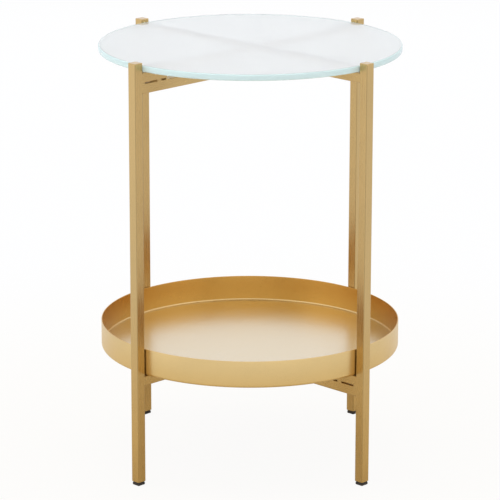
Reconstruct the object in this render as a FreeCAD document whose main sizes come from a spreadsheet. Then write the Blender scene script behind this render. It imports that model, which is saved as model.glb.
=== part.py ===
import FreeCAD, Part
import os

import Sketcher

# A two-tier side table: a round glass top and a round metal tray between four square legs.
#
# Two flat frames carry it. Each frame is two opposite legs joined by a top bar and a bottom
# bar, and the two frames cross at right angles. Where the bars cross, one runs over the other
# and a bolt pins them, so that the frames swing together about the table's upright axis and
# fold nearly flat. A short spacer on each end of a bar that passes under brings it up to the
# level of the bar that passes over, so the glass and the tray lie level.
#
# Frame A: front left and rear right legs. Its top bar passes under, its bottom bar over.
# Frame B: front right and rear left legs. Its top bar passes over, its bottom bar under.
#
# Origin: on the floor, on the upright axis. +Z is up, and the front of the table faces -Y.

OUTPUT_FOLDER = "parts"

# The driving dimensions, in millimetres: name, value, meaning.
SIZES = (
    ("disc_diameter", 400.0, "diameter of the glass top and of the tray"),
    ("leg_clearance", 1.0, "gap between the edge of either disc and the legs"),
    ("glass_height", 562.0, "floor to the top of the glass"),
    ("glass_thickness", 8.0, "thickness of the glass"),
    ("glass_arris", 1.0, "bevel on both edges of the glass"),
    ("leg_rise", 4.0, "height of the leg tips above the glass"),
    ("tray_height", 150.0, "floor to the underside of the tray"),
    ("tray_depth", 36.0, "underside of the tray to the top of its rim"),
    ("tray_sheet", 1.2, "thickness of the tray's sheet"),
    ("tray_bend", 3.5, "outside radius where the tray's wall meets its floor"),
    ("tray_rim_round", 0.4, "rounding on both edges of the tray's rim"),
    ("tube_side", 13.0, "outside width of the square tube"),
    ("tube_wall", 1.2, "wall of the square tube"),
    ("tube_corner", 1.0, "outside corner radius of the square tube"),
    ("tube_end_round", 0.8, "rounding on the lower end of a leg tube"),
    ("cap_thickness", 1.5, "thickness of the plate that closes a leg"),
    ("cap_edge_round", 0.5, "rounding on the upper edge of a leg cap"),
    ("foot_height", 3.2, "thickness of a foot's flange"),
    ("foot_neck", 1.2, "length of neck that shows between a foot and its tube"),
    ("foot_inset", 0.6, "how far a foot's flange stands in from the tube's faces"),
    ("foot_plug_length", 12.0, "length of a foot's plug inside the tube"),
    ("foot_plug_clearance", 0.1, "gap between a foot's plug and the tube's inner faces"),
    ("bumper_thickness", 1.0, "thickness of a bumper pad"),
    ("bumper_diameter", 9.0, "diameter of a bumper pad"),
    ("spacer_length", 43.0, "length of a spacer, from the leg inwards"),
    ("root_weld_length", 4.0, "length of the weld beside the leg, between spacer and bar"),
    ("tack_weld_start", 26.0, "distance from the leg to the tack weld"),
    ("tack_weld_length", 7.0, "length of the tack weld between spacer and bar"),
    ("end_weld_length", 2.0, "length of the weld that closes the slot at a spacer's inner end"),
    ("bolt_diameter", 5.0, "diameter of a pivot bolt"),
    ("bolt_clearance", 0.06, "radial gap between a pivot bolt and the bar that turns on it"),
    ("bolt_head_diameter", 9.5, "diameter of a pivot bolt's button head"),
    ("bolt_head_height", 2.75, "height of a pivot bolt's button head"),
    ("bolt_head_round", 1.6, "rounding of a pivot bolt's button head"),
    ("bolt_socket_width", 3.0, "width across the flats of a pivot bolt's hexagon socket"),
    ("bolt_socket_depth", 1.5, "depth of a pivot bolt's hexagon socket"),
    ("bolt_tip_inset", 1.0, "how far a bolt's tip stops below the top of its rivet nut"),
    ("washer_diameter", 11.0, "outside diameter of a pivot washer"),
    ("washer_thickness", 1.0, "thickness of a pivot washer"),
    ("washer_clearance", 0.15, "radial gap between a washer and its bolt"),
    ("nut_flange_diameter", 11.0, "diameter of a rivet nut's flange"),
    ("nut_flange_thickness", 1.5, "thickness of a rivet nut's flange, which parts crossing bars"),
    ("nut_thread_clearance", 0.05, "radial gap between a rivet nut's bore and its bolt"),
    ("nut_wall", 0.9, "wall of a rivet nut's barrel"),
    ("nut_seat_clearance", 0.05, "radial gap between a rivet nut's barrel and its hole"),
    ("nut_bulge", 0.6, "how far the set bulge stands out from the barrel"),
    ("nut_bulge_height", 2.0, "height of the set bulge"),
    ("nut_headroom", 2.0, "space left above a rivet nut, inside the bar"),
)

# Places and sizes that follow from the driving dimensions: name, formula, meaning.
PLACES = (
    ("leg_face", "Sizes.disc_diameter / 2 + Sizes.leg_clearance", "axis to a leg's inner face"),
    ("leg_centre", "leg_face + Sizes.tube_side / 2", "axis to a leg's centreline"),
    ("tube_bore", "Sizes.tube_side - 2 * Sizes.tube_wall", "inside width of the tube"),
    ("leg_bottom", "Sizes.foot_height + Sizes.foot_neck", "floor to the lower end of a leg tube"),
    ("cap_bottom", "Sizes.glass_height + Sizes.leg_rise - Sizes.cap_thickness",
     "floor to the underside of a leg cap"),
    ("glass_bottom", "Sizes.glass_height - Sizes.glass_thickness",
     "floor to the underside of the glass"),
    ("level_pitch", "Sizes.tube_side + Sizes.nut_flange_thickness",
     "from one level of bars to the next"),
    ("top_over", "glass_bottom - Sizes.bumper_thickness - Sizes.tube_side / 2",
     "middle of the top bar that passes over"),
    ("top_under", "top_over - level_pitch", "middle of the top bar that passes under"),
    ("bottom_over", "Sizes.tray_height - Sizes.bumper_thickness - Sizes.tube_side / 2",
     "middle of the bottom bar that passes over"),
    ("bottom_under", "bottom_over - level_pitch", "middle of the bottom bar that passes under"),
    ("spacer_centre", "leg_face - Sizes.spacer_length / 2", "axis to the middle of a spacer"),
    ("barrel_diameter", "Sizes.bolt_diameter + 2 * (Sizes.nut_thread_clearance + Sizes.nut_wall)",
     "outside diameter of a rivet nut's barrel"),
    ("barrel_length", "Sizes.tube_side - Sizes.tube_wall - Sizes.nut_headroom",
     "length of a rivet nut's barrel above its flange"),
    ("shank_length", "Sizes.washer_thickness + level_pitch + barrel_length - Sizes.bolt_tip_inset",
     "length of a pivot bolt under its head"),
)

# Legs by frame: name and angle from +X. They stand on the diagonals.
FRAME_A_LEGS = (("front_left", 225), ("rear_right", 45))
FRAME_B_LEGS = (("front_right", 315), ("rear_left", 135))
FRAME_A_ANGLE = 45
FRAME_B_ANGLE = 135

ALONG_X = FreeCAD.Vector(1, 0, 0)
ALONG_Z = FreeCAD.Vector(0, 0, 1)
FLATNESS = 1e-6

doc = FreeCAD.newDocument("tiered_side_table")
nodes = []


def fill_sheet(name, rows, sign=""):
    """One row per value: its meaning, and its number or formula under its alias."""
    sheet = doc.addObject("Spreadsheet::Sheet", name)
    for number, (alias, content, meaning) in enumerate(rows, start=1):
        sheet.set(f"A{number}", meaning)
        sheet.set(f"B{number}", f"{sign}{content}")
        sheet.setAlias(f"B{number}", alias)


def as_node(item):
    """Marks a finished sub-part, which is written to a file under its label."""
    nodes.append(item)
    return item


# Sketches


def new_sketch(body, name, plane="XY_Plane", offset="0"):
    """A sketch on one of the body's own origin planes, moved along that plane's normal."""
    sketch = body.newObject("Sketcher::SketchObject", name)
    support = next(item for item in body.Origin.OriginFeatures if item.Role == plane)
    sketch.AttachmentSupport = [(support, "")]
    sketch.MapMode = "FlatFace"
    sketch.setExpression("AttachmentOffset.Base.z", offset)
    return sketch


def bind(sketch, constraint, name, size):
    """Adds a dimension to a sketch and ties it to a size."""
    sketch.renameConstraint(sketch.addConstraint(constraint), name)
    sketch.setExpression(f"Constraints.{name}", size)


def draw_square(sketch, side):
    """A square about the sketch's origin."""
    half = 5.0
    corners = [FreeCAD.Vector(x * half, y * half, 0) for x, y in ((-1, -1), (1, -1), (1, 1), (-1, 1))]
    for number, corner in enumerate(corners):
        sketch.addGeometry(Part.LineSegment(corner, corners[(number + 1) % 4]))
    for number in range(4):
        sketch.addConstraint(Sketcher.Constraint("Coincident", number, 2, (number + 1) % 4, 1))
    for number, direction in enumerate(("Horizontal", "Vertical", "Horizontal", "Vertical")):
        sketch.addConstraint(Sketcher.Constraint(direction, number))
    sketch.addConstraint(Sketcher.Constraint("Symmetric", 0, 1, 2, 1, -1, 1))
    bind(sketch, Sketcher.Constraint("DistanceX", 0, 1, 0, 2, 2 * half), "width", side)
    bind(sketch, Sketcher.Constraint("DistanceY", 1, 1, 1, 2, 2 * half), "depth", side)


def draw_circle(sketch, diameter):
    """A circle about the sketch's origin."""
    radius = 5.0
    sketch.addGeometry(Part.Circle(FreeCAD.Vector(), ALONG_Z, radius))
    sketch.addConstraint(Sketcher.Constraint("Coincident", 0, 3, -1, 1))
    bind(sketch, Sketcher.Constraint("Diameter", 0, 2 * radius), "diameter", diameter)


def draw_hexagon(sketch, width):
    """A regular hexagon about the sketch's origin, by its width across the flats."""
    radius = 2.0
    sides = 6
    corners = [FreeCAD.Rotation(ALONG_Z, 360 * number / sides).multVec(ALONG_X) * radius
               for number in range(sides)]
    for number, corner in enumerate(corners):
        sketch.addGeometry(Part.LineSegment(corner, corners[(number + 1) % sides]))
    round_corners = sketch.addGeometry(Part.Circle(FreeCAD.Vector(), ALONG_Z, radius), True)
    sketch.addConstraint(Sketcher.Constraint("Coincident", round_corners, 3, -1, 1))
    for number in range(sides):
        sketch.addConstraint(Sketcher.Constraint("Coincident", number, 2, (number + 1) % sides, 1))
        sketch.addConstraint(Sketcher.Constraint("PointOnObject", number, 1, round_corners))
    for number in range(1, sides):
        sketch.addConstraint(Sketcher.Constraint("Equal", 0, number))
    sketch.addConstraint(Sketcher.Constraint("PointOnObject", 0, 1, -1))
    across_corners = Sketcher.Constraint("Diameter", round_corners, 2 * radius)
    bind(sketch, across_corners, "across_corners", f"({width}) / cos(30 deg)")


# Features


def extrude(body, name, draw, size, length, offset="0", symmetric=False):
    """Pads a centred square or circle along the body's own Z."""
    sketch = new_sketch(body, f"{name}_outline", offset=offset)
    draw(sketch, size)
    feature = body.newObject("PartDesign::Pad", name)
    feature.Profile = sketch
    feature.SideType = "Symmetric" if symmetric else "One side"
    feature.setExpression("Length", length)
    return feature


def sink(body, name, sketch, length=None, against_normal=True):
    """Cuts a sketch's outline into the body by a length, or right through it both ways."""
    doc.recompute()
    volume_before = body.Shape.Volume
    feature = body.newObject("PartDesign::Pocket", name)
    feature.Profile = sketch
    feature.Reversed = not against_normal
    if length is None:
        feature.Type = "ThroughAll"
        feature.SideType = "Symmetric"
    else:
        feature.setExpression("Length", length)
    doc.recompute()
    if body.Shape.Volume >= volume_before:
        raise RuntimeError(f"{body.Label}: {name} removes nothing")


def dress(body, kind, name, base, picks, size_property, size):
    """Rounds or bevels every edge of the base feature that is picked."""
    doc.recompute()
    edges = [f"Edge{number}" for number, edge in enumerate(base.Shape.Edges, start=1) if picks(edge)]
    feature = body.newObject(f"PartDesign::{kind}", name)
    feature.Base = (base, edges)
    feature.setExpression(size_property, size)
    return feature


def fillet(body, name, base, picks, radius):
    return dress(body, "Fillet", name, base, picks, "Radius", radius)


def upright_edge(edge):
    ends = [vertex.Point for vertex in edge.Vertexes]
    return len(ends) == 2 and (ends[1] - ends[0]).cross(ALONG_Z).Length < FLATNESS


def edges_at(level):
    """Picks the edges that lie flat at a height of the body's own Z."""
    def picks(edge):
        box = edge.BoundBox
        return box.ZLength < FLATNESS and abs(box.ZMin - level) < FLATNESS
    return picks


def new_body(label):
    return doc.addObject("PartDesign::Body", label)


def place(item, height, radius="0", angle=0, lying=False):
    """Stands an item at a height, a radius and an angle; lying turns its own Z along the radius."""
    turn = FreeCAD.Rotation(ALONG_Z, angle)
    if lying:
        turn = FreeCAD.Rotation(ALONG_Z, angle + 90) * FreeCAD.Rotation(ALONG_X, 90)
    item.Placement = FreeCAD.Placement(FreeCAD.Vector(), turn)
    item.setExpression("Placement.Base.x", f"({radius}) * cos({angle} deg)")
    item.setExpression("Placement.Base.y", f"({radius}) * sin({angle} deg)")
    item.setExpression("Placement.Base.z", height)
    return item


# Tubes: legs, bars and spacers


def rounded_bar(body, length, symmetric=False):
    """The tube's outside, filled: a square bar along Z with rounded corners."""
    bar = extrude(body, "bar", draw_square, "Sizes.tube_side", length, symmetric=symmetric)
    return fillet(body, "corners", bar, upright_edge, "Sizes.tube_corner")


def hollow(body):
    bore = new_sketch(body, "bore_outline")
    draw_square(bore, "Places.tube_bore")
    sink(body, "bore", bore)


def leg(name, angle):
    body = new_body(f"leg_{name}")
    bar = rounded_bar(body, "Places.cap_bottom - Places.leg_bottom")
    fillet(body, "lower_end", bar, edges_at(0), "Sizes.tube_end_round")
    hollow(body)
    return as_node(place(body, "Places.leg_bottom", "Places.leg_centre", angle))


def cross_bar(label, height, angle):
    """A bar from leg to leg, square across its ends."""
    body = new_body(label)
    rounded_bar(body, "2 * Places.leg_face", symmetric=True)
    hollow(body)
    return as_node(place(body, height, angle=angle, lying=True))


def bar_under(label, height, angle):
    """The bar that passes under has a hole right through it for the pivot bolt."""
    body = cross_bar(label, height, angle)
    hole = new_sketch(body, "bolt_hole_outline", "XZ_Plane")
    draw_circle(hole, "Sizes.bolt_diameter + 2 * Sizes.bolt_clearance")
    sink(body, "bolt_hole", hole)


def bar_over(label, height, angle):
    """The bar that passes over has a hole in its lower wall for the rivet nut."""
    body = cross_bar(label, height, angle)
    hole = new_sketch(body, "nut_hole_outline", "XZ_Plane", "Sizes.tube_side / 2")
    draw_circle(hole, "Places.barrel_diameter + 2 * Sizes.nut_seat_clearance")
    sink(body, "nut_hole", hole, "Sizes.tube_wall")


def spacer(label, height, angle):
    body = new_body(label)
    rounded_bar(body, "Sizes.spacer_length", symmetric=True)
    hollow(body)
    as_node(place(body, height, "Places.spacer_centre", angle, lying=True))


# Leg ends


def leg_cap(name, angle):
    """A flat plate welded over the upper end of a leg."""
    body = new_body(f"leg_cap_{name}")
    plate = rounded_bar(body, "Sizes.cap_thickness")
    doc.recompute()
    fillet(body, "upper_edge", plate, edges_at(plate.Shape.BoundBox.ZMax), "Sizes.cap_edge_round")
    as_node(place(body, "Places.cap_bottom", "Places.leg_centre", angle))


def foot(name, angle):
    """A glide: a flange on the floor and a square plug up inside the leg."""
    body = new_body(f"foot_{name}")
    flange_side = "Sizes.tube_side - 2 * Sizes.foot_inset"
    flange = extrude(body, "flange", draw_square, flange_side, "Sizes.foot_height")
    fillet(body, "flange_corners", flange, upright_edge, "Sizes.tube_corner")
    plug_side = "Places.tube_bore - 2 * Sizes.foot_plug_clearance"
    plug_length = "Sizes.foot_neck + Sizes.foot_plug_length"
    extrude(body, "plug", draw_square, plug_side, plug_length, "Sizes.foot_height")
    as_node(place(body, "0", "Places.leg_centre", angle))


# Pivots


def pivot(level_name, bar_height):
    """The bolt, washer and rivet nut where two bars cross; the height is the lower bar's middle."""
    under_bar = f"{bar_height} - Sizes.tube_side / 2"
    under_washer = f"{under_bar} - Sizes.washer_thickness"

    bolt = new_body(f"{level_name}_pivot_bolt")
    head = extrude(bolt, "head", draw_circle, "Sizes.bolt_head_diameter", "Sizes.bolt_head_height")
    fillet(bolt, "head_edge", head, edges_at(0), "Sizes.bolt_head_round")
    socket = new_sketch(bolt, "socket_outline")
    draw_hexagon(socket, "Sizes.bolt_socket_width")
    sink(bolt, "socket", socket, "Sizes.bolt_socket_depth", against_normal=False)
    extrude(bolt, "shank", draw_circle, "Sizes.bolt_diameter", "Places.shank_length",
            "Sizes.bolt_head_height")
    as_node(place(bolt, f"{under_washer} - Sizes.bolt_head_height"))

    washer = new_body(f"{level_name}_pivot_washer")
    extrude(washer, "plate", draw_circle, "Sizes.washer_diameter", "Sizes.washer_thickness")
    washer_hole = new_sketch(washer, "hole_outline")
    draw_circle(washer_hole, "Sizes.bolt_diameter + 2 * Sizes.washer_clearance")
    sink(washer, "hole", washer_hole)
    as_node(place(washer, under_washer))

    nut = new_body(f"{level_name}_rivet_nut")
    flange = "Sizes.nut_flange_thickness"
    bulge_diameter = "Places.barrel_diameter + 2 * Sizes.nut_bulge"
    extrude(nut, "flange", draw_circle, "Sizes.nut_flange_diameter", flange)
    extrude(nut, "barrel", draw_circle, "Places.barrel_diameter", "Places.barrel_length", flange)
    extrude(nut, "bulge", draw_circle, bulge_diameter, "Sizes.nut_bulge_height",
            f"{flange} + Sizes.tube_wall")
    thread = new_sketch(nut, "thread_outline")
    draw_circle(thread, "Sizes.bolt_diameter + 2 * Sizes.nut_thread_clearance")
    sink(nut, "thread", thread)
    as_node(place(nut, f"{bar_height} + Sizes.tube_side / 2"))


# Welds. Each is the space between the tubes' rounded corners, filled flush with their faces.
# They are drawn once about a point on a leg's inner face, with X running outwards along the bar.


def weld_block(name, start, length, height):
    """The space that a weld fills, before the tubes are taken out of it."""
    block = doc.addObject("Part::Box", name)
    block.setExpression("Length", length)
    block.setExpression("Width", "Sizes.tube_side")
    block.setExpression("Height", height)
    block.setExpression("Placement.Base.x", start)
    block.setExpression("Placement.Base.y", "-Sizes.tube_side / 2")
    block.setExpression("Placement.Base.z", f"-({height}) / 2")
    return block


def tube_outline(label, height=None):
    """A tube's filled outside: standing as the leg does, or lying at a height as a bar does."""
    body = new_body(label)
    if height is None:
        rounded_bar(body, "4 * Places.level_pitch", symmetric=True)
        return place(body, "0", "Sizes.tube_side / 2")
    rounded_bar(body, "2 * Sizes.spacer_length", symmetric=True)
    return place(body, height, "-Sizes.spacer_length", lying=True)


def cut_away(name, block, outlines):
    for number, outline in enumerate(outlines):
        cut = doc.addObject("Part::Cut", f"{name}_{number}")
        cut.Base = block
        cut.Tool = outline
        block = cut
    return block


def weld_patterns():
    """The welds at an end with a spacer, and the weld at the plain end of a bar."""
    flat_face = "Sizes.tube_side - 2 * Sizes.tube_corner"
    half_pitch = "Places.level_pitch / 2"
    leg_outline = tube_outline("weld_leg_outline")
    bar_outline = tube_outline("weld_bar_outline", f"-{half_pitch}")
    spacer_outline = tube_outline("weld_spacer_outline", half_pitch)

    slot_depth = "Sizes.nut_flange_thickness + 2 * Sizes.tube_corner"
    root = weld_block("root_block", "-Sizes.root_weld_length",
                      "Sizes.root_weld_length + Sizes.tube_corner", f"Places.level_pitch + {flat_face}")
    tack = weld_block("tack_block", "-Sizes.tack_weld_start - Sizes.tack_weld_length",
                      "Sizes.tack_weld_length", slot_depth)
    end = weld_block("end_block", "-Sizes.spacer_length", "Sizes.end_weld_length", slot_depth)
    plain = weld_block("plain_block", "0", "Sizes.tube_corner", flat_face)
    spacer_end = [
        cut_away("root_weld", root, (leg_outline, bar_outline, spacer_outline)),
        cut_away("tack_weld", tack, (bar_outline, spacer_outline)),
        cut_away("end_weld", end, (bar_outline, spacer_outline)),
    ]
    plain_end = [cut_away("plain_weld", plain, (leg_outline,))]
    return spacer_end, plain_end


def gather(label, items):
    group = doc.addObject("Part::Compound", label)
    group.Links = items
    return group


def frame_welds(label, legs, spacer_ends_height, plain_ends_height, patterns):
    ends = []
    for _, angle in legs:
        for pattern, height in zip(patterns, (spacer_ends_height, plain_ends_height)):
            end = gather(f"{label}_end_{len(ends)}", pattern)
            ends.append(place(end, height, "Places.leg_face", angle))
    as_node(gather(label, ends))


# What the frames carry


def bumper_pads(label, height, legs):
    """Two clear pads, each over the middle of a spacer or at the same place on a plain bar."""
    discs = []
    for name, angle in legs:
        disc = doc.addObject("Part::Cylinder", f"{label}_{name}")
        disc.setExpression("Radius", "Sizes.bumper_diameter / 2")
        disc.setExpression("Height", "Sizes.bumper_thickness")
        discs.append(place(disc, height, "Places.spacer_centre", angle))
    as_node(gather(label, discs))


def glass_top():
    body = new_body("glass_top")
    disc = extrude(body, "disc", draw_circle, "Sizes.disc_diameter", "Sizes.glass_thickness")
    dress(body, "Chamfer", "arris", disc, lambda edge: edge.BoundBox.ZLength < FLATNESS,
          "Size", "Sizes.glass_arris")
    as_node(place(body, "Places.glass_bottom"))


def tray():
    """A pressed pan: a round floor that bends up into a low upright wall."""
    body = new_body("tray")
    blank = extrude(body, "blank", draw_circle, "Sizes.disc_diameter", "Sizes.tray_depth")
    bend = fillet(body, "bend", blank, edges_at(0), "Sizes.tray_bend")
    doc.recompute()
    rim_level = bend.Shape.BoundBox.ZMax
    open_face = next(number for number, face in enumerate(bend.Shape.Faces, start=1)
                     if face.BoundBox.ZMin > rim_level - FLATNESS)
    pan = body.newObject("PartDesign::Thickness", "pan")
    pan.Base = (bend, [f"Face{open_face}"])
    pan.Reversed = True
    pan.setExpression("Value", "Sizes.tray_sheet")
    fillet(body, "rim", pan, edges_at(rim_level), "Sizes.tray_rim_round")
    as_node(place(body, "Sizes.tray_height"))


def build_table():
    fill_sheet("Sizes", SIZES)
    fill_sheet("Places", PLACES, sign="=")
    doc.recompute()

    for name, angle in FRAME_A_LEGS + FRAME_B_LEGS:
        leg(name, angle)
        leg_cap(name, angle)
        foot(name, angle)

    bar_under("top_bar_under", "Places.top_under", FRAME_A_ANGLE)
    bar_over("top_bar_over", "Places.top_over", FRAME_B_ANGLE)
    bar_under("bottom_bar_under", "Places.bottom_under", FRAME_B_ANGLE)
    bar_over("bottom_bar_over", "Places.bottom_over", FRAME_A_ANGLE)
    for name, angle in FRAME_A_LEGS:
        spacer(f"top_spacer_{name}", "Places.top_over", angle)
    for name, angle in FRAME_B_LEGS:
        spacer(f"bottom_spacer_{name}", "Places.bottom_over", angle)

    pivot("top", "Places.top_under")
    pivot("bottom", "Places.bottom_under")

    top_slot = "(Places.top_over + Places.top_under) / 2"
    bottom_slot = "(Places.bottom_over + Places.bottom_under) / 2"
    patterns = weld_patterns()
    frame_welds("welds_frame_a", FRAME_A_LEGS, top_slot, "Places.bottom_over", patterns)
    frame_welds("welds_frame_b", FRAME_B_LEGS, bottom_slot, "Places.top_over", patterns)

    under_glass = "Places.glass_bottom - Sizes.bumper_thickness"
    under_tray = "Sizes.tray_height - Sizes.bumper_thickness"
    for letter, legs in (("a", FRAME_A_LEGS), ("b", FRAME_B_LEGS)):
        bumper_pads(f"glass_pads_frame_{letter}", under_glass, legs)
        bumper_pads(f"tray_pads_frame_{letter}", under_tray, legs)
    glass_top()
    tray()
    doc.recompute()


def check_table():
    """Stops before anything is written if a feature failed or a sub-part isn't sound."""
    for item in doc.Objects:
        if "Invalid" in item.State or "Error" in item.State:
            raise RuntimeError(f"{item.Label} failed: {item.State}")
    for node in nodes:
        if node.Shape.isNull() or not node.Shape.isValid() or not node.Shape.Solids:
            raise RuntimeError(f"{node.Label} has no sound solid")


def write_table():
    os.makedirs(OUTPUT_FOLDER, exist_ok=True)
    for node in nodes:
        node.Shape.exportStep(os.path.join(OUTPUT_FOLDER, f"{node.Label}.step"))
        box = node.Shape.BoundBox
        print(f"{node.Label}: {len(node.Shape.Solids)} solids, {node.Shape.Volume:.0f} mm3, "
              f"z {box.ZMin:.2f} to {box.ZMax:.2f}")


build_table()
check_table()
write_table()
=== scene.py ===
import math

import bmesh
import bpy
from mathutils import Matrix, Vector


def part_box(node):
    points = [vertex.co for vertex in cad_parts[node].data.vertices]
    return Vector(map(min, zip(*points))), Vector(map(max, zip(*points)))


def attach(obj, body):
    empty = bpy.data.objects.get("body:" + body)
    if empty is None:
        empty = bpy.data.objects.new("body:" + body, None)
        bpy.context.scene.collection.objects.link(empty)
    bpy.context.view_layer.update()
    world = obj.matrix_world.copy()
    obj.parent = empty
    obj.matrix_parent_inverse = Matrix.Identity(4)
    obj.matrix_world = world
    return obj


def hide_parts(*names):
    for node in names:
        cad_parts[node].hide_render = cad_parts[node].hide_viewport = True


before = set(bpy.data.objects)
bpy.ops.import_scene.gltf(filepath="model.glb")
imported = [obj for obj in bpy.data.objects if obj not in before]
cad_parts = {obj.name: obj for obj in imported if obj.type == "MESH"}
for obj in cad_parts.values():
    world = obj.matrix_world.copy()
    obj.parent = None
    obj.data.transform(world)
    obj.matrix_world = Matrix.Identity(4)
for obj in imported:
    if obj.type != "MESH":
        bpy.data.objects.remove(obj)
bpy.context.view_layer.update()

# The looks of a two-tier side table: a frosted glass top and a pressed tray on crossed tube frames.
# The glass, the tray, the feet and the bumper pads are modelled here. The tubes, leg caps, welds and
# pivots keep their own meshes and are finished by material.

bl_info = {
    "name": "Tiered Side Table",
    "version": (1, 0, 0),
    "blender": (4, 5, 0),
    "location": "3D View > Sidebar > Side Table",
    "description": "Models and finishes the pieces of a folding two-tier side table",
    "category": "Object",
}

MM = 0.001

# The legs of each frame, by the body that carries them.
FRAME_LEGS = {
    "frame_a": ("front_left", "rear_right"),
    "frame_b": ("front_right", "rear_left"),
}
LEG_TURN = math.radians(45)

# Heights and radii closer than this are the same, where edges and faces are picked.
FLAT = 0.01 * MM
# The rise of a face's normal: above LEVEL it lies level, above UPWARD it looks up at all, and below
# DOWNWARD it looks down.
LEVEL = 0.99
UPWARD = 0.1
DOWNWARD = -0.5

# Lamps, all round: name, place, diameter, power in watts. Each is aimed at the middle of the table.
LAMPS = (
    ("left_softbox", (-2.8, -0.6, 1.4), 3.6, 13.5),
    ("top_softbox", (0.0, 0.3, 4.5), 4.0, 28.0),
    ("back_softbox", (0.0, 2.8, 1.3), 2.2, 4.4),
    ("right_softbox", (2.6, -0.6, 1.2), 2.6, 1.2),
)
LAMP_AIM = Vector((0.0, 0.0, 0.3))

# The surround's brightness in its middle, and its growth along X, Y and Z: as a light, and as gloss
# shows it. The camera sees plain white.
SURROUND_LIGHT = (0.70, (-0.10, 0.0, 0.53))
SURROUND_GLOSS = (1.03, (0.15, -0.25, -0.02))

GLASS_LOW, GLASS_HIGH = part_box("glass_top")
TRAY_LOW, TRAY_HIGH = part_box("tray")


def linear(code):
    """An sRGB hex colour as linear red, green and blue."""
    channels = (int(code[place:place + 2], 16) / 255 for place in (1, 3, 5))
    return tuple(c / 12.92 if c <= 0.04045 else ((c + 0.055) / 1.055) ** 2.4 for c in channels)


def length(name, description, value):
    """A length that a user can change, in millimetres here and in metres in the scene."""
    return bpy.props.FloatProperty(name=name, description=description, default=value * MM,
                                   min=0.0, precision=5, unit="LENGTH")


def colour(name, description, code):
    """A colour that a user can change, from its sRGB hex value."""
    return bpy.props.FloatVectorProperty(name=name, description=description, default=linear(code),
                                         min=0.0, max=1.0, size=3, subtype="COLOR")


# Sizes and colours


class SideTableSizes(bpy.types.PropertyGroup):
    """Sizes of the pieces that are modelled here; their places come from the frame."""

    round_sides: bpy.props.IntProperty(
        name="Round sides", description="Sides of the glass and of the tray", default=256, min=32)
    glass_arris: length("Glass arris", "Bevel on both edges of the glass", 1.0)
    glass_arris_round: length("Arris rounding", "Rounding where the arris meets the faces", 0.15)
    glass_face_ring: length("Glass face ring", "Width of the ring of faces inside the arris", 3.0)
    tray_sheet: length("Tray sheet", "Thickness of the tray's sheet", 1.2)
    tray_bend: length("Tray bend", "Outside radius where the wall meets the floor", 3.5)
    tray_rim_round: length("Tray rim rounding", "Rounding on both edges of the rim", 0.4)
    tray_floor_ring: length("Tray floor ring", "Width of the flat ring inside the bend", 4.0)
    foot_flange_side: length("Foot flange", "Width of a foot's flange", 11.8)
    foot_flange_height: length("Foot flange height", "Thickness of a foot's flange", 3.2)
    foot_plug_side: length("Foot plug", "Width of a foot's plug", 10.4)
    foot_corner: length("Foot corner", "Corner radius of a foot's flange", 1.0)
    foot_edge_round: length("Foot edge rounding", "Rounding of the flange's level edges", 0.4)
    foot_plug_taper: bpy.props.FloatProperty(
        name="Foot plug taper", description="Width of the plug's tip as a share of its own",
        default=0.94)
    pad_sides: bpy.props.IntProperty(
        name="Pad sides", description="Sides of a bumper pad", default=48, min=16)
    pad_diameter: length("Bumper pad", "Diameter of a bumper pad", 9.0)
    pad_edge_round: length("Pad rounding", "Rounding on the upper edge of a bumper pad", 0.35)
    pad_face_ring: length("Pad face ring", "Width of the ring of faces at a pad's rim", 1.0)


class SideTableColours(bpy.types.PropertyGroup):
    """Colours of the finishes."""

    gold: colour("Gold lacquer", "Lacquer on the tubes", "#C9A96C")
    # The tray's three golds are one lacquer: painted light outside, painted shade on the wall's
    # inside, a painted sheen on the floor.
    gold_outside_painted_light: colour("Gold tray outside", "Lacquer on the outside of the tray", "#DEC084")
    gold_inside_painted_shade: colour("Gold tray wall", "Lacquer on the inside of the tray's wall", "#D0A250")
    gold_floor_painted_sheen: colour("Gold tray floor", "Lacquer on the tray's floor", "#D2BD8B")
    glass_face: colour("Glass face", "The glass, seen through its faces", "#FDFFFC")
    # The edge's green is the glass's own; its paleness is a painted glow for light piped through the
    # sheet.
    glass_edge: colour("Glass edge", "Polished edge of the glass", "#E0F7F2")
    foot: colour("Foot", "Moulded plastic of the feet", "#2C2724")
    pad: colour("Bumper pad", "Clear polyurethane of the pads", "#EEF0EC")
    zinc: colour("Zinc", "Zinc plating of bolts, washers and nuts", "#C3C6C8")
    zinc_blue: colour("Zinc, blue", "Blue cast of the passivated zinc", "#B4BCC6")
    zinc_yellow: colour("Zinc, yellow", "Yellow cast of the passivated zinc", "#C9C6B4")
    daylight: colour("Daylight", "Colour of the lamps and of the surround's light", "#F7F8FF")
    floor: colour("Floor", "Floor away from the table", "#E8E9EA")
    # Painted warm shade on the floor near the table.
    floor_near_painted_shade: colour("Floor near the table", "Floor where the table's gold warms it", "#DFD0AC")


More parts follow.
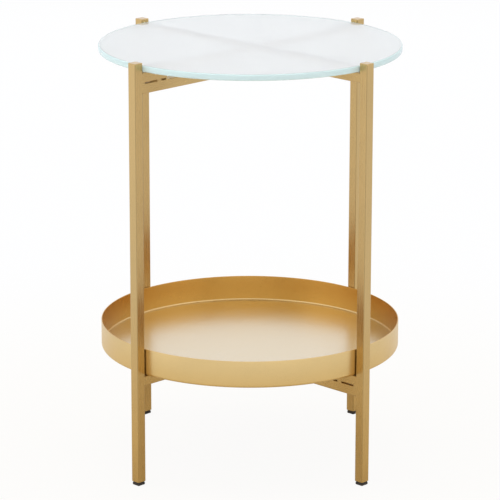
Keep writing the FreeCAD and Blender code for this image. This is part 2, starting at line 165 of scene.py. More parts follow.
class SideTableStudio(bpy.types.PropertyGroup):
    """Camera and floor."""

    camera_distance: bpy.props.FloatProperty(
        name="Camera distance", description="Level distance from the table's axis to the camera",
        default=3.8235, unit="LENGTH")
    camera_height: bpy.props.FloatProperty(
        name="Camera height", description="Floor to the camera", default=1.3425, unit="LENGTH")
    camera_turn: bpy.props.FloatProperty(
        name="Camera turn", description="How far the camera stands round the axis from the front",
        default=math.radians(-0.344), subtype="ANGLE")
    camera_tilt: bpy.props.FloatProperty(
        name="Camera tilt", description="How far the camera looks below the horizon",
        default=math.radians(15.539), subtype="ANGLE")
    camera_roll: bpy.props.FloatProperty(
        name="Camera roll", description="Roll of the camera about its own line of sight",
        default=math.radians(0.103), subtype="ANGLE")
    camera_lens: bpy.props.FloatProperty(
        name="Lens", description="Focal length on a 36 mm sensor", default=213.21)
    floor_radius: bpy.props.FloatProperty(
        name="Floor radius", description="Radius of the floor", default=9.0, unit="LENGTH")
    # Where the floor's painted warm shade is strongest, and where it has faded out.
    warm_shade_core: bpy.props.FloatProperty(
        name="Warm core", description="How far from the axis the floor is at its warmest",
        default=0.2, unit="LENGTH")
    warm_shade_reach: bpy.props.FloatProperty(
        name="Warm reach", description="How far from the axis the warm tone of the floor has gone",
        default=1.1, unit="LENGTH")
    floor_lift: bpy.props.FloatProperty(
        name="Floor lift", description="Share of the surround's white in the floor as it is seen",
        default=0.93, min=0.0, max=1.0)
    floor_gloss: bpy.props.FloatProperty(
        name="Floor in gloss",
        description="Share of the surround's white in the floor as the metal shows it",
        default=0.1, min=0.0, max=1.0)


# Helpers for meshes


def deselect_all():
    bpy.ops.object.select_all(action="DESELECT")


def open_edit():
    """Opens the active mesh in edit mode."""
    bpy.ops.object.mode_set(mode="EDIT")


def pick(kind, test):
    """Selects only those faces or edges of the mesh in edit mode that pass a test."""
    bpy.ops.mesh.select_mode(type={"faces": "FACE", "edges": "EDGE"}[kind])
    bpy.ops.mesh.select_all(action="DESELECT")
    shape = bmesh.from_edit_mesh(bpy.context.object.data)
    for item in getattr(shape, kind):
        if test(item):
            item.select_set(True)
    bmesh.update_edit_mesh(bpy.context.object.data)


def level_edge(height):
    """Passes the edges that lie at a height."""
    return lambda edge: all(abs(corner.co.z - height) < FLAT for corner in edge.verts)


def level_face(height):
    """Passes the faces that lie at a height."""
    return lambda face: all(abs(corner.co.z - height) < FLAT for corner in face.verts)


def upright_edge(edge):
    """Passes the edges that stand upright."""
    first, second = edge.verts
    return (first.co.xy - second.co.xy).length < FLAT


def lying_edge(edge):
    """Passes the edges that lie level, at any height."""
    first, second = edge.verts
    return abs(first.co.z - second.co.z) < FLAT


def outward_edge(edge):
    """Passes the edges that run outwards from the axis."""
    first, second = edge.verts
    return abs(first.co.xy.length - second.co.xy.length) > FLAT


def new_piece(name):
    """Names the object that an operator has just added, and puts its place into its mesh."""
    piece = bpy.context.object
    piece.name = piece.data.name = name
    bpy.ops.object.transform_apply(location=True, rotation=True, scale=True)
    return piece


def close_faces(heights, ring):
    """Gives each of a disc's flat faces a ring of small faces and a fan to its middle."""
    for height in heights:
        pick("faces", level_face(height))
        bpy.ops.mesh.inset(thickness=ring)
        bpy.ops.mesh.poke()


def copy_piece(piece, name, shift):
    """A copy with a mesh of its own, moved, and with its place in its mesh."""
    deselect_all()
    piece.select_set(True)
    bpy.context.view_layer.objects.active = piece
    bpy.ops.object.duplicate(linked=False)
    bpy.context.object.location = shift
    return new_piece(name)


def discard(piece):
    deselect_all()
    piece.select_set(True)
    bpy.ops.object.delete()


def close_edit():
    """Leaves edit mode with doubles merged and faces pointing outwards."""
    bpy.ops.mesh.select_all(action="SELECT")
    bpy.ops.mesh.remove_doubles(threshold=0.001 * MM)
    bpy.ops.mesh.normals_make_consistent(inside=False)
    bpy.ops.object.mode_set(mode="OBJECT")


def seat(piece, body, nodes, materials, smooth_angle=30):
    """Finishes a piece: shading, materials, the body it moves with and the nodes it stands for."""
    deselect_all()
    piece.select_set(True)
    bpy.context.view_layer.objects.active = piece
    bpy.ops.object.shade_smooth_by_angle(angle=math.radians(smooth_angle))
    for material in materials:
        piece.data.materials.append(material)
    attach(piece, body)
    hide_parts(*nodes)
    deselect_all()
    return piece


# Helpers for materials

# The middle stretch of a noise, which it seldom leaves, for the maps that give it a new range.
NOISE_MIDDLE = {"From Min": 0.3, "From Max": 0.7}


def add(tree, kind, inputs=None, out=None, **settings):
    """Adds a node with its settings and returns an output. An input takes a value or an output."""
    made = tree.nodes.new(kind)
    for name, value in settings.items():
        setattr(made, name, value)
    for key, value in (inputs or {}).items():
        socket = made.inputs[key] if isinstance(key, int) else next(
            item for item in made.inputs if item.enabled and item.name == key)
        if isinstance(value, bpy.types.NodeSocket):
            tree.links.new(value, socket)
        else:
            socket.default_value = value
    outputs = [item for item in made.outputs if item.enabled and out in (None, item.name)]
    return outputs[0] if outputs else None


def rgba(value):
    """A colour with full opacity."""
    return (*value, 1.0)


def new_material(name):
    """An empty node material, and the Object coordinates of what it is on."""
    material = bpy.data.materials.new(name)
    material.use_nodes = True
    tree = material.node_tree
    tree.nodes.clear()
    place = add(tree, "ShaderNodeTexCoord", out="Object")
    return material, tree, place


def shade(value, share):
    """A colour made lighter or darker by a share."""
    return rgba(min(channel * share, 1.0) for channel in value)


def edge_mask(tree, radius):
    """1 along edges and 0 on faces: where a rounded normal leaves the true one.

    The match is the cosine of the angle between the two.
    """
    rounded = add(tree, "ShaderNodeBevel", {"Radius": radius}, samples=4)
    true = add(tree, "ShaderNodeNewGeometry", out="Normal")
    match = add(tree, "ShaderNodeVectorMath", {0: rounded, 1: true}, operation="DOT_PRODUCT")
    return add(tree, "ShaderNodeMapRange", {"Value": match, "From Min": 0.98, "From Max": 0.85})


def leg_corner_shade(tree):
    """1 on the rounded corners of a leg and 0 on its faces. Where it is 1, the lacquer gets a painted
    shade.

    The faces stand between X and Y, where the normal's X times Y is 0.5. The corners point along X or
    Y, where it is 0.
    """
    x, y, z = add(tree, "ShaderNodeSeparateXYZ",
                  {"Vector": add(tree, "ShaderNodeTexCoord", out="Normal")}).node.outputs
    product = add(tree, "ShaderNodeMath", {0: x, 1: y}, operation="MULTIPLY")
    size = add(tree, "ShaderNodeMath", {0: product}, operation="ABSOLUTE")
    return add(tree, "ShaderNodeMapRange", {"Value": size, "From Min": 0.48, "From Max": 0.2})


# Finishes

# Shades of the gold lacquer, as shares of its colour.
LACQUER_THICK = 0.955
LACQUER_THIN = 1.045
LACQUER_LINE = 0.8
# Paler along the edges: partly thinner lacquer, partly a painted highlight.
LACQUER_EDGE_THIN_AND_HIGHLIT = 1.16
# Painted shade on the legs' rounded corners.
LACQUER_CORNER_SHADE = 0.68
LACQUER_WELD = 0.97


def gold_lacquer(name, base, pattern, roughness, grain, coat=0.6, coat_ior=1.5, corners=None):
    """Satin gold lacquer over steel. Its pattern is linishing lines on tube, or a grain on sheet.

    The metal under the lacquer gives the warm, soft reflection. The clear lacquer adds a paler one
    that grows at low angles. Along the edges it is paler and glossier: partly thinner lacquer, partly
    a painted highlight. Where corners are given, their rounded faces get a painted shade.
    """
    material, tree, place = new_material(name)
    along = pattern(tree, place)
    lines = add(tree, "ShaderNodeTexNoise",
                {"Vector": along, "Scale": 1.0, "Detail": 3.0}, out="Fac")
    cloud = add(tree, "ShaderNodeTexNoise",
                {"Vector": place, "Scale": 1 / (45 * MM), "Detail": 2.0}, out="Fac")
    peel = add(tree, "ShaderNodeTexNoise",
               {"Vector": place, "Scale": 1 / (1.4 * MM), "Detail": 1.0}, out="Fac")
    edges = edge_mask(tree, 0.8 * MM)

    tone = add(tree, "ShaderNodeMix",
               {"Factor": cloud, "A": shade(base, LACQUER_THICK), "B": shade(base, LACQUER_THIN)},
               data_type="RGBA")
    streaks = add(tree, "ShaderNodeMapRange",
                  {"Value": lines, **NOISE_MIDDLE, "To Min": 0.0, "To Max": 0.08})
    tone = add(tree, "ShaderNodeMix",
               {"Factor": streaks, "A": tone, "B": shade(base, LACQUER_LINE)}, data_type="RGBA")
    # Paler along the edges: partly thinner lacquer, partly a painted highlight.
    thinned_and_highlit = add(tree, "ShaderNodeMath", {0: edges, 1: 0.3}, operation="MULTIPLY")
    tone = add(tree, "ShaderNodeMix",
               {"Factor": thinned_and_highlit, "A": tone, "B": shade(base, LACQUER_EDGE_THIN_AND_HIGHLIT)}, data_type="RGBA")
    # Painted shade, darker, on rounded corners.
    if corners:
        tone = add(tree, "ShaderNodeMix",
                   {"Factor": corners(tree), "A": tone, "B": shade(base, LACQUER_CORNER_SHADE)},
                   data_type="RGBA")

    on_lines = add(tree, "ShaderNodeMapRange",
                   {"Value": lines, **NOISE_MIDDLE,
                    "To Min": roughness - 0.04, "To Max": roughness + 0.05})
    in_cloud = add(tree, "ShaderNodeMapRange",
                   {"Value": cloud, **NOISE_MIDDLE, "To Min": -0.02, "To Max": 0.02})
    polish = add(tree, "ShaderNodeMath", {0: edges, 1: 0.06}, operation="MULTIPLY")
    rough = add(tree, "ShaderNodeMath", {0: on_lines, 1: in_cloud}, operation="ADD")
    rough = add(tree, "ShaderNodeMath", {0: rough, 1: polish}, operation="SUBTRACT")
    scratches = add(tree, "ShaderNodeBump",
                    {"Height": lines, "Strength": grain, "Distance": 0.02 * MM})
    skin = add(tree, "ShaderNodeBump", {"Height": peel, "Strength": 0.25, "Distance": 0.01 * MM})
    lacquer = add(tree, "ShaderNodeBsdfPrincipled", {
        "Base Color": tone, "Metallic": 1.0, "Roughness": rough, "Normal": scratches,
        "Coat Weight": coat, "Coat Roughness": 0.25, "Coat IOR": coat_ior, "Coat Normal": skin})
    add(tree, "ShaderNodeOutputMaterial", {"Surface": lacquer})
    return material


def straight_lines(turn_axis, turn):
    """Lines 40 mm long and 0.5 mm apart, along X once turned. Real linishing is 0.1 mm; this shows."""
    def pattern(tree, place):
        turned = add(tree, "ShaderNodeVectorRotate", {"Vector": place, "Angle": turn},
                     rotation_type=turn_axis)
        return add(tree, "ShaderNodeMapping",
                   {"Vector": turned, "Scale": (1 / (40 * MM), 1 / (0.5 * MM), 1 / (0.5 * MM))})
    return pattern


def even_grain(tree, place):
    """Specks 0.8 mm across, the same all ways. The flake in real lacquer is 0.05 mm; this shows."""
    return add(tree, "ShaderNodeMapping", {"Vector": place, "Scale": (1 / (0.8 * MM),) * 3})


def round_lines(tree, place):
    """Lines round the axis, 0.5 mm apart, as an edge grinder leaves them. Real ones are 0.1 mm."""
    x, y, z = add(tree, "ShaderNodeSeparateXYZ", {"Vector": place}).node.outputs
    turn = add(tree, "ShaderNodeMath", {0: y, 1: x}, operation="ARCTAN2")
    reach = add(tree, "ShaderNodeVectorMath",
                {0: add(tree, "ShaderNodeCombineXYZ", {"X": x, "Y": y})}, operation="LENGTH")
    polar = add(tree, "ShaderNodeCombineXYZ", {"X": turn, "Y": reach, "Z": z})
    return add(tree, "ShaderNodeMapping",
               {"Vector": polar, "Scale": (5.0, 1 / (0.5 * MM), 1 / (0.5 * MM))})


def clear_glass(colours):
    """The upper face of float glass, as it came off the line: smooth, with the faintest waviness."""
    material, tree, place = new_material("clear_float_glass")
    cloud = add(tree, "ShaderNodeTexNoise",
                {"Vector": place, "Scale": 1 / (60 * MM), "Detail": 2.0}, out="Fac")
    wave = add(tree, "ShaderNodeBump", {"Height": cloud, "Strength": 0.1, "Distance": 0.05 * MM})
    tone = add(tree, "ShaderNodeMix",
               {"Factor": cloud, "A": shade(colours.glass_face, 0.99), "B": rgba(colours.glass_face)},
               data_type="RGBA")
    rough = add(tree, "ShaderNodeMapRange",
                {"Value": cloud, **NOISE_MIDDLE, "To Min": 0.08, "To Max": 0.12})
    glass = add(tree, "ShaderNodeBsdfPrincipled", {
        "Base Color": tone, "Roughness": rough, "IOR": 1.52, "Transmission Weight": 0.75,
        "Normal": wave})
    add(tree, "ShaderNodeOutputMaterial", {"Surface": glass})
    return material


def etched_glass(colours):
    """The acid-etched underside: a fine matt grain that whitens the glass and veils what is below.

    Real etching has a grain of 0.05 mm. This has 0.8 mm, so that it shows.
    """
    material, tree, place = new_material("acid_etched_float_glass")
    grain = add(tree, "ShaderNodeTexNoise",
                {"Vector": place, "Scale": 1 / (0.8 * MM), "Detail": 2.0}, out="Fac")
    cloud = add(tree, "ShaderNodeTexNoise",
                {"Vector": place, "Scale": 1 / (70 * MM), "Detail": 3.0}, out="Fac")
    tone = add(tree, "ShaderNodeMix",
               {"Factor": cloud, "A": shade(colours.glass_face, 0.985), "B": rgba(colours.glass_face)},
               data_type="RGBA")
    rough = add(tree, "ShaderNodeMapRange",
                {"Value": cloud, **NOISE_MIDDLE, "To Min": 0.6, "To Max": 0.66})
    bump = add(tree, "ShaderNodeBump", {"Height": grain, "Strength": 0.15, "Distance": 0.02 * MM})
    glass = add(tree, "ShaderNodeBsdfPrincipled", {
        "Base Color": tone, "Roughness": rough, "IOR": 1.52, "Transmission Weight": 0.35,
        "Normal": bump})
    add(tree, "ShaderNodeOutputMaterial", {"Surface": glass})
    return material


def polished_edge(colours):
    """The ground and polished edge: green, as glass is, and painted pale as a glow
    for the light it gathers from across the sheet.
    """
    material, tree, place = new_material("ground_and_polished_glass_edge")
    marks = add(tree, "ShaderNodeTexNoise",
                {"Vector": round_lines(tree, place), "Scale": 1.0, "Detail": 2.0}, out="Fac")
    edge = colours.glass_edge
    tone = add(tree, "ShaderNodeMix",
               {"Factor": marks, "A": shade(edge, 0.96), "B": shade(edge, 1.03)}, data_type="RGBA")
    rough = add(tree, "ShaderNodeMapRange",
                {"Value": marks, **NOISE_MIDDLE, "To Min": 0.12, "To Max": 0.2})
    bump = add(tree, "ShaderNodeBump", {"Height": marks, "Strength": 0.05, "Distance": 0.02 * MM})
    glass = add(tree, "ShaderNodeBsdfPrincipled", {
        "Base Color": tone, "Roughness": rough, "IOR": 1.52, "Transmission Weight": 0.2,
        "Normal": bump})
    add(tree, "ShaderNodeOutputMaterial", {"Surface": glass})
    return material


def moulded_plastic(colours):
    """Black polyethylene, moulded in a spark-eroded tool: a fine matt grain, scuffed on the edges.

    The real grain is 0.1 mm. This is 0.4 mm, so that it shows.
    """
    material, tree, place = new_material("moulded_black_polyethylene")
    grain = add(tree, "ShaderNodeTexNoise",
                {"Vector": place, "Scale": 1 / (0.4 * MM), "Detail": 3.0}, out="Fac")
    edges = edge_mask(tree, 0.5 * MM)
    tone = add(tree, "ShaderNodeMix",
               {"Factor": grain, "A": shade(colours.foot, 0.8), "B": shade(colours.foot, 1.25)},
               data_type="RGBA")
    scuffed = add(tree, "ShaderNodeMath", {0: edges, 1: 0.35}, operation="MULTIPLY")
    tone = add(tree, "ShaderNodeMix",
               {"Factor": scuffed, "A": tone, "B": shade(colours.foot, 2.2)}, data_type="RGBA")
    rough = add(tree, "ShaderNodeMapRange",
                {"Value": grain, **NOISE_MIDDLE, "To Min": 0.45, "To Max": 0.62})
    bump = add(tree, "ShaderNodeBump", {"Height": grain, "Strength": 0.4, "Distance": 0.03 * MM})
    plastic = add(tree, "ShaderNodeBsdfPrincipled",
                  {"Base Color": tone, "Roughness": rough, "IOR": 1.51, "Normal": bump})
    add(tree, "ShaderNodeOutputMaterial", {"Surface": plastic})
    return material


def clear_polyurethane(colours):
    """Clear polyurethane, cast: soft and smooth, and slightly milky in faint clouds."""
    material, tree, place = new_material("cast_clear_polyurethane")
    cloud = add(tree, "ShaderNodeTexNoise",
                {"Vector": place, "Scale": 1 / (3 * MM), "Detail": 2.0}, out="Fac")
    tone = add(tree, "ShaderNodeMix",
               {"Factor": cloud, "A": shade(colours.pad, 0.93), "B": rgba(colours.pad)},
               data_type="RGBA")
    rough = add(tree, "ShaderNodeMapRange",
                {"Value": cloud, **NOISE_MIDDLE, "To Min": 0.15, "To Max": 0.28})
    bump = add(tree, "ShaderNodeBump", {"Height": cloud, "Strength": 0.1, "Distance": 0.05 * MM})
    rubber = add(tree, "ShaderNodeBsdfPrincipled", {
        "Base Color": tone, "Roughness": rough, "IOR": 1.5, "Transmission Weight": 0.8,
        "Normal": bump})
    add(tree, "ShaderNodeOutputMaterial", {"Surface": rubber})
    return material


def zinc_plate(colours):
    """Bright zinc over cold-formed steel: cool grey, with a faint blue and yellow passivation."""
    material, tree, place = new_material("bright_zinc_plated_steel")
    cloud = add(tree, "ShaderNodeTexNoise",
                {"Vector": place, "Scale": 1 / (2.5 * MM), "Detail": 3.0}, out="Fac")
    pits = add(tree, "ShaderNodeTexNoise",
               {"Vector": place, "Scale": 1 / (0.3 * MM), "Detail": 2.0}, out="Fac")
    cast = add(tree, "ShaderNodeMapRange",
               {"Value": cloud, **NOISE_MIDDLE, "To Min": 0.0, "To Max": 1.0})
    tone = add(tree, "ShaderNodeMix",
               {"Factor": cast, "A": rgba(colours.zinc_blue), "B": rgba(colours.zinc_yellow)},
               data_type="RGBA")
    bare = add(tree, "ShaderNodeMapRange",
               {"Value": pits, **NOISE_MIDDLE, "To Min": 0.0, "To Max": 0.5})
    tone = add(tree, "ShaderNodeMix",
               {"Factor": bare, "A": tone, "B": rgba(colours.zinc)}, data_type="RGBA")
    rough = add(tree, "ShaderNodeMapRange",
                {"Value": pits, **NOISE_MIDDLE, "To Min": 0.26, "To Max": 0.38})
    bump = add(tree, "ShaderNodeBump", {"Height": pits, "Strength": 0.15, "Distance": 0.01 * MM})
    zinc = add(tree, "ShaderNodeBsdfPrincipled",
               {"Base Color": tone, "Metallic": 1.0, "Roughness": rough, "Normal": bump})
    add(tree, "ShaderNodeOutputMaterial", {"Surface": zinc})
    return material


def seen_ray(tree):
    """1 for rays from the camera and through glass, 0 for the rest."""
    return add(tree, "ShaderNodeMath",
               {0: add(tree, "ShaderNodeLightPath", out="Is Camera Ray"),
                1: add(tree, "ShaderNodeLightPath", out="Is Transmission Ray")}, operation="MAXIMUM")


def off_gloss(tree, light, gloss):
    """One level for light, and one for what the metal's gloss shows."""
    ray = add(tree, "ShaderNodeLightPath", out="Is Glossy Ray")
    return add(tree, "ShaderNodeMix", {"Factor": ray, "A": light, "B": gloss}, data_type="FLOAT")


def pale_floor(colours, studio):
    """A pale seamless floor. As it is seen, its shade and shadow are mixed with the surround's white.

    The camera, the metal and the glass see the mix. As a light, the floor is only its own colour.
    Near the table it is painted a warmer, darker tone: a painted shade, warmed as by the table's gold.
    From below it is clear.
    """
    material, tree, place = new_material("seamless_studio_floor")
    fleck = add(tree, "ShaderNodeTexNoise", {"Vector": place, "Scale": 1 / (400 * MM)}, out="Fac")
    tone = add(tree, "ShaderNodeMix",
               {"Factor": fleck, "A": shade(colours.floor, 0.995), "B": rgba(colours.floor)},
               data_type="RGBA")
    # A painted warm shade near the table, fading out from the core to the reach.
    reach = add(tree, "ShaderNodeVectorMath", {0: place}, operation="LENGTH")
    away = add(tree, "ShaderNodeMapRange",
               {"Value": reach, "From Min": studio.warm_shade_core, "From Max": studio.warm_shade_reach},
               interpolation_type="SMOOTHSTEP")
    tone = add(tree, "ShaderNodeMix",
               {"Factor": away, "A": rgba(colours.floor_near_painted_shade), "B": tone}, data_type="RGBA")
    paint = add(tree, "ShaderNodeBsdfDiffuse", {"Color": tone})
    white = add(tree, "ShaderNodeEmission", {"Strength": 1.0})
    share = add(tree, "ShaderNodeMix",
                {"Factor": seen_ray(tree), "A": off_gloss(tree, 0.0, studio.floor_gloss),
                 "B": studio.floor_lift}, data_type="FLOAT")
    seen = add(tree, "ShaderNodeMixShader", {0: share, 1: paint, 2: white})
    clear = add(tree, "ShaderNodeBsdfTransparent")
    back = add(tree, "ShaderNodeNewGeometry", out="Backfacing")
    floor = add(tree, "ShaderNodeMixShader", {0: back, 1: seen, 2: clear})
    add(tree, "ShaderNodeOutputMaterial", {"Surface": floor})
    return material


def dress(nodes, material):
    """Gives CAD nodes a finish through their material slots."""
    for name in nodes:
        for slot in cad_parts[name].material_slots:
            slot.material = material


# Operators


class SIDETABLE_OT_glass(bpy.types.Operator):
    """Models the glass top: a disc, clear above and etched below, with an arris on both edges."""

    bl_idname = "side_table.glass"
    bl_label = "Glass Top"

    def execute(self, context):
        sizes, colours = context.scene.side_table_sizes, context.scene.side_table_colours
        low, high = GLASS_LOW.z, GLASS_HIGH.z
        deselect_all()
        bpy.ops.mesh.primitive_cylinder_add(
            vertices=sizes.round_sides, radius=GLASS_HIGH.x, depth=high - low,
            end_fill_type="NGON", location=(0, 0, (low + high) / 2))
        piece = new_piece("frosted_glass_top")
        open_edit()
        for offset, segments in ((sizes.glass_arris, 1), (sizes.glass_arris_round, 2)):
            pick("edges", lying_edge)
            bpy.ops.mesh.bevel(offset=offset, segments=segments, affect="EDGES")
        close_faces((low, high), sizes.glass_face_ring)
        close_edit()
        seat(piece, "glass", ["glass_top"],
             [clear_glass(colours), etched_glass(colours), polished_edge(colours)])
        above, below, edge = range(3)
        for face in piece.data.polygons:
            rise = face.normal.z
            face.material_index = above if rise > LEVEL else below if rise < -LEVEL else edge
        return {"FINISHED"}


class SIDETABLE_OT_tray(bpy.types.Operator):
    """Models the tray: a pan pressed from one sheet, with a round bend and a soft rim."""

    bl_idname = "side_table.tray"
    bl_label = "Tray"

    def execute(self, context):
        sizes, colours = context.scene.side_table_sizes, context.scene.side_table_colours
        piece = self.make_pan(sizes)
        # One lacquer in three copies: painted shade on the wall's inside, a painted pale sheen on the
        # floor, painted light outside.
        finishes = [
            gold_lacquer("gold_lacquer_inside_pressed_wall", colours.gold_inside_painted_shade, even_grain,
                         roughness=0.3, grain=0.15, coat=0.25),
            gold_lacquer("gold_lacquer_on_pressed_floor", colours.gold_floor_painted_sheen, even_grain,
                         roughness=0.3, grain=0.1, coat=1.0, coat_ior=2.0),
            gold_lacquer("gold_lacquer_outside_pressed_steel", colours.gold_outside_painted_light, even_grain,
                         roughness=0.3, grain=0.15, coat=0.15),
        ]
        seat(piece, "shelf_tray", ["tray"], finishes, smooth_angle=35)
        self.share_out(piece, TRAY_LOW.z + sizes.tray_bend)
        return {"FINISHED"}

    def make_pan(self, sizes):
        """A can without its lid, bent where its floor meets its wall, as thick as the sheet."""
        low, high = TRAY_LOW.z, TRAY_HIGH.z
        deselect_all()
        bpy.ops.mesh.primitive_cylinder_add(
            vertices=sizes.round_sides, radius=TRAY_HIGH.x, depth=high - low,
            end_fill_type="NGON", location=(0, 0, (low + high) / 2))
        piece = new_piece("pressed_tray")
        open_edit()
        pick("faces", level_face(high))
        bpy.ops.mesh.delete(type="ONLY_FACE")
        pick("edges", level_edge(low))
        bpy.ops.mesh.bevel(offset=sizes.tray_bend, segments=8, affect="EDGES")
        close_faces((low,), sizes.tray_floor_ring)
        close_edit()
        sheet = piece.modifiers.new("sheet", "SOLIDIFY")
        sheet.thickness = sizes.tray_sheet
        sheet.offset = -1
        sheet.use_even_offset = True
        bpy.ops.object.modifier_apply(modifier=sheet.name)
        open_edit()
        pick("edges", lambda edge: level_edge(high)(edge) and not outward_edge(edge))
        bpy.ops.mesh.bevel(offset=sizes.tray_rim_round, segments=3, affect="EDGES")
        close_edit()
        return piece

    def share_out(self, piece, bend_top):
        """Gives each face its copy of the one lacquer, with light or shade painted in.
        The bend has the outside's: both catch light from all round.

        The faces that look up below the bend's top are the floor's and the bend's inner ones. The
        wall's inner faces keep the first finish.
        """
        floor, outside = 1, 2
        for face in piece.data.polygons:
            rise = face.normal.z
            low_inside = rise > UPWARD and face.center.z < bend_top
            if low_inside and rise > LEVEL:
                face.material_index = floor
            elif low_inside or rise < DOWNWARD or face.normal.xy.dot(face.center.xy) > 0:
                face.material_index = outside


class SIDETABLE_OT_feet(bpy.types.Operator):
    """Models the four feet: a rounded flange on the floor and a plug up inside the leg."""

    bl_idname = "side_table.feet"
    bl_label = "Feet"

    def execute(self, context):
        finish = moulded_plastic(context.scene.side_table_colours)
        pattern = self.make_pattern(context.scene.side_table_sizes)
        for body, legs in FRAME_LEGS.items():
            for leg in legs:
                low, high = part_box(f"foot_{leg}")
                place = ((low.x + high.x) / 2, (low.y + high.y) / 2, low.z)
                piece = copy_piece(pattern, f"glide_{leg}", place)
                seat(piece, body, [f"foot_{leg}"], [finish], smooth_angle=40)
        discard(pattern)
        return {"FINISHED"}

    def make_pattern(self, sizes):
        """One foot on the origin, turned as the legs are."""
        low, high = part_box("foot_front_left")
        height, side = sizes.foot_flange_height, sizes.foot_flange_side
        edge_round = sizes.foot_edge_round
        top = high.z - low.z
        deselect_all()
        bpy.ops.mesh.primitive_cube_add(
            size=1, location=(0, 0, height / 2), rotation=(0, 0, LEG_TURN), scale=(side, side, height))
        piece = new_piece("foot_pattern")
        open_edit()
        pick("edges", upright_edge)
        bpy.ops.mesh.bevel(offset=sizes.foot_corner, segments=4, affect="EDGES")
        pick("edges", lambda edge: not upright_edge(edge))
        bpy.ops.mesh.bevel(offset=edge_round, segments=3, affect="EDGES")
        pick("faces", level_face(height))
        bpy.ops.mesh.inset(thickness=(side - sizes.foot_plug_side) / 2 - edge_round)
        for rise in (top - height - edge_round, edge_round):
            bpy.ops.mesh.extrude_region_move(TRANSFORM_OT_translate={"value": (0, 0, rise)})
        taper = sizes.foot_plug_taper
        bpy.ops.transform.resize(value=(taper, taper, 1), center_override=(0, 0, top))
        close_edit()
        return piece


class SIDETABLE_OT_pads(bpy.types.Operator):
    """Models the clear bumper pads under the glass and under the tray."""

    bl_idname = "side_table.pads"
    bl_label = "Bumper Pads"

    def execute(self, context):
        sizes = context.scene.side_table_sizes
        finish = clear_polyurethane(context.scene.side_table_colours)
        pattern = self.make_pattern(sizes)
        # Frame A lies where X equals Y, and frame B where it equals minus Y.
        for shelf in ("glass", "tray"):
            for letter, side in (("a", 1), ("b", -1)):
                node = f"{shelf}_pads_frame_{letter}"
                low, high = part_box(node)
                reach = high.x - sizes.pad_diameter / 2
                pair = [copy_piece(pattern, f"{node}_pad", (end * reach, end * side * reach, low.z))
                        for end in (1, -1)]
                pair[0].select_set(True)
                bpy.ops.object.join()
                piece = new_piece(f"bumper_{node}")
                seat(piece, f"frame_{letter}", [node], [finish], smooth_angle=40)
        discard(pattern)
        return {"FINISHED"}

    def make_pattern(self, sizes):
        """One pad on the origin."""
        low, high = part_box("glass_pads_frame_a")
        thickness = high.z - low.z
        deselect_all()
        bpy.ops.mesh.primitive_cylinder_add(
            vertices=sizes.pad_sides, radius=sizes.pad_diameter / 2, depth=thickness,
            end_fill_type="NGON", location=(0, 0, thickness / 2))
        piece = new_piece("pad_pattern")
        open_edit()
        pick("edges", level_edge(thickness))
        bpy.ops.mesh.bevel(offset=sizes.pad_edge_round, segments=4, affect="EDGES")
        close_faces((0.0, thickness), sizes.pad_face_ring)
        close_edit()
        return piece


class SIDETABLE_OT_frames(bpy.types.Operator):
    """Finishes the tubes, leg caps and welds of both frames with gold lacquer."""

    bl_idname = "side_table.frames"
    bl_label = "Frames"

    def execute(self, context):
        gold = context.scene.side_table_colours.gold
        upwards = straight_lines("Y_AXIS", math.radians(90))
        along_a = straight_lines("Z_AXIS", -LEG_TURN)
        along_b = straight_lines("Z_AXIS", LEG_TURN)
        across = straight_lines("Z_AXIS", 0.0)
        # The legs' rounded corners get a painted shade.
        on_legs = gold_lacquer("gold_lacquer_on_upright_tube", gold, upwards,
                               roughness=0.27, grain=0.16, corners=leg_corner_shade)
        on_bars_a = gold_lacquer("gold_lacquer_on_frame_a_bars", gold, along_a,
                                 roughness=0.27, grain=0.16)
        on_bars_b = gold_lacquer("gold_lacquer_on_frame_b_bars", gold, along_b,
                                 roughness=0.27, grain=0.16)
        on_caps = gold_lacquer("gold_lacquer_on_ground_cap", gold, along_a, roughness=0.36, grain=0.3)
        on_welds = gold_lacquer("gold_lacquer_on_ground_weld", shade(gold, LACQUER_WELD)[:3], across,
                                roughness=0.4, grain=0.6)
        legs = [leg for pair in FRAME_LEGS.values() for leg in pair]
        dress([f"leg_{leg}" for leg in legs], on_legs)
        dress([f"leg_cap_{leg}" for leg in legs], on_caps)
        dress(["top_bar_under", "bottom_bar_over"], on_bars_a)
        dress([f"top_spacer_{leg}" for leg in FRAME_LEGS["frame_a"]], on_bars_a)
        dress(["top_bar_over", "bottom_bar_under"], on_bars_b)
        dress([f"bottom_spacer_{leg}" for leg in FRAME_LEGS["frame_b"]], on_bars_b)
        dress([f"welds_{body}" for body in FRAME_LEGS], on_welds)
        return {"FINISHED"}


class SIDETABLE_OT_pivots(bpy.types.Operator):
    """Finishes the bolts, washers and rivet nuts of both pivots with zinc plating."""

    bl_idname = "side_table.pivots"
    bl_label = "Pivots"

    def execute(self, context):
        finish = zinc_plate(context.scene.side_table_colours)
        dress([f"{level}_{piece}" for level in ("top", "bottom")
               for piece in ("pivot_bolt", "pivot_washer", "rivet_nut")], finish)
        return {"FINISHED"}


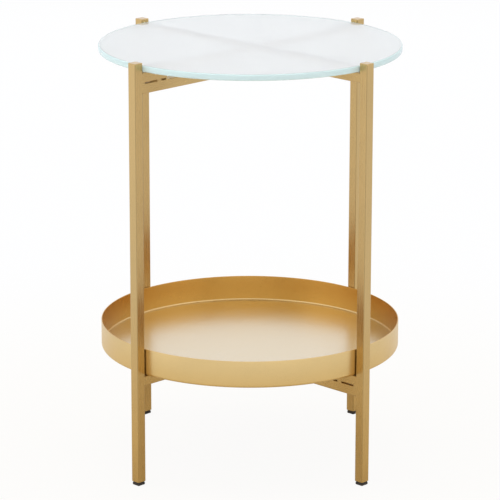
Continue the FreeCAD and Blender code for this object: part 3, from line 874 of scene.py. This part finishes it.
class SIDETABLE_OT_stage(bpy.types.Operator):
    """Sets up the floor, the white surround, the lamps and the camera."""

    bl_idname = "side_table.stage"
    bl_label = "Stage"

    def execute(self, context):
        scene = context.scene
        studio = scene.side_table_studio
        self.make_floor(studio, scene.side_table_colours)
        self.make_world(scene, rgba(scene.side_table_colours.daylight))
        self.make_lamps(scene.side_table_colours.daylight)
        self.make_camera(scene, studio)
        scene.view_settings.view_transform = "Standard"
        return {"FINISHED"}

    def make_floor(self, studio, colours):
        deselect_all()
        bpy.ops.mesh.primitive_circle_add(vertices=128, radius=studio.floor_radius, fill_type="NGON")
        floor = new_piece("studio_floor")
        floor.data.materials.append(pale_floor(colours, studio))

    def make_world(self, scene, daylight):
        """White to the camera and through glass. As a light, it is brighter above and at the left."""
        world = bpy.data.worlds.new("white_surround")
        world.use_nodes = True
        tree = world.node_tree
        tree.nodes.clear()
        way = add(tree, "ShaderNodeTexCoord", out="Generated")
        light = self.level(tree, way, *SURROUND_LIGHT)
        gloss = self.level(tree, way, *SURROUND_GLOSS)
        lit = add(tree, "ShaderNodeBackground",
                  {"Color": daylight, "Strength": off_gloss(tree, light, gloss)})
        white = add(tree, "ShaderNodeBackground", {"Color": (1.0, 1.0, 1.0, 1.0), "Strength": 1.0})
        add(tree, "ShaderNodeOutputWorld", {"Surface": add(
            tree, "ShaderNodeMixShader", {0: seen_ray(tree), 1: lit, 2: white})})
        scene.world = world

    def level(self, tree, way, middle, slope):
        """A level that grows evenly from one side of the surround to the other."""
        rise = add(tree, "ShaderNodeVectorMath", {0: way, 1: slope}, operation="DOT_PRODUCT")
        return add(tree, "ShaderNodeMath", {0: rise, 1: middle}, operation="ADD")

    def make_lamps(self, daylight):
        for name, place, size, power in LAMPS:
            deselect_all()
            bpy.ops.object.light_add(type="AREA", location=place)
            lamp = bpy.context.object
            lamp.name = lamp.data.name = name
            lamp.data.shape = "DISK"
            lamp.data.size = size
            lamp.data.energy = power
            lamp.data.color = daylight
            lamp.rotation_euler = (LAMP_AIM - Vector(place)).to_track_quat("-Z", "Y").to_euler()

    def make_camera(self, scene, studio):
        deselect_all()
        bpy.ops.object.camera_add()
        camera = bpy.context.object
        camera.name = camera.data.name = "camera"
        turn = Matrix.Rotation(studio.camera_turn, 4, "Z")
        tilt = Matrix.Rotation(math.radians(90) - studio.camera_tilt, 4, "X")
        roll = Matrix.Rotation(studio.camera_roll, 4, "Z")
        back = Matrix.Translation((0, -studio.camera_distance, studio.camera_height))
        camera.matrix_world = turn @ back @ tilt @ roll
        camera.data.lens = studio.camera_lens
        camera.data.clip_start = 0.01
        camera.data.clip_end = 100.0
        scene.camera = camera


class SIDETABLE_PT_panel(bpy.types.Panel):
    """Lists the sizes, the colours and the steps in the sidebar."""

    bl_idname = "SIDETABLE_PT_panel"
    bl_label = "Side Table"
    bl_space_type = "VIEW_3D"
    bl_region_type = "UI"
    bl_category = "Side Table"

    def draw(self, context):
        for group in (context.scene.side_table_sizes, context.scene.side_table_colours,
                      context.scene.side_table_studio):
            box = self.layout.box()
            for name in group.__annotations__:
                box.prop(group, name)
        for step in STEPS:
            self.layout.operator(step.bl_idname)


GROUPS = {
    "side_table_sizes": SideTableSizes,
    "side_table_colours": SideTableColours,
    "side_table_studio": SideTableStudio,
}
STEPS = (
    SIDETABLE_OT_stage,
    SIDETABLE_OT_frames,
    SIDETABLE_OT_pivots,
    SIDETABLE_OT_feet,
    SIDETABLE_OT_pads,
    SIDETABLE_OT_glass,
    SIDETABLE_OT_tray,
)


def register():
    for item in (*GROUPS.values(), *STEPS, SIDETABLE_PT_panel):
        bpy.utils.register_class(item)
    for name, group in GROUPS.items():
        setattr(bpy.types.Scene, name, bpy.props.PointerProperty(type=group))


def unregister():
    for name in GROUPS:
        delattr(bpy.types.Scene, name)
    for item in (SIDETABLE_PT_panel, *STEPS, *GROUPS.values()):
        bpy.utils.unregister_class(item)


def main():
    register()
    for step in STEPS:
        family, name = step.bl_idname.split(".")
        getattr(getattr(bpy.ops, family), name)()


if __name__ == "__main__":
    main()
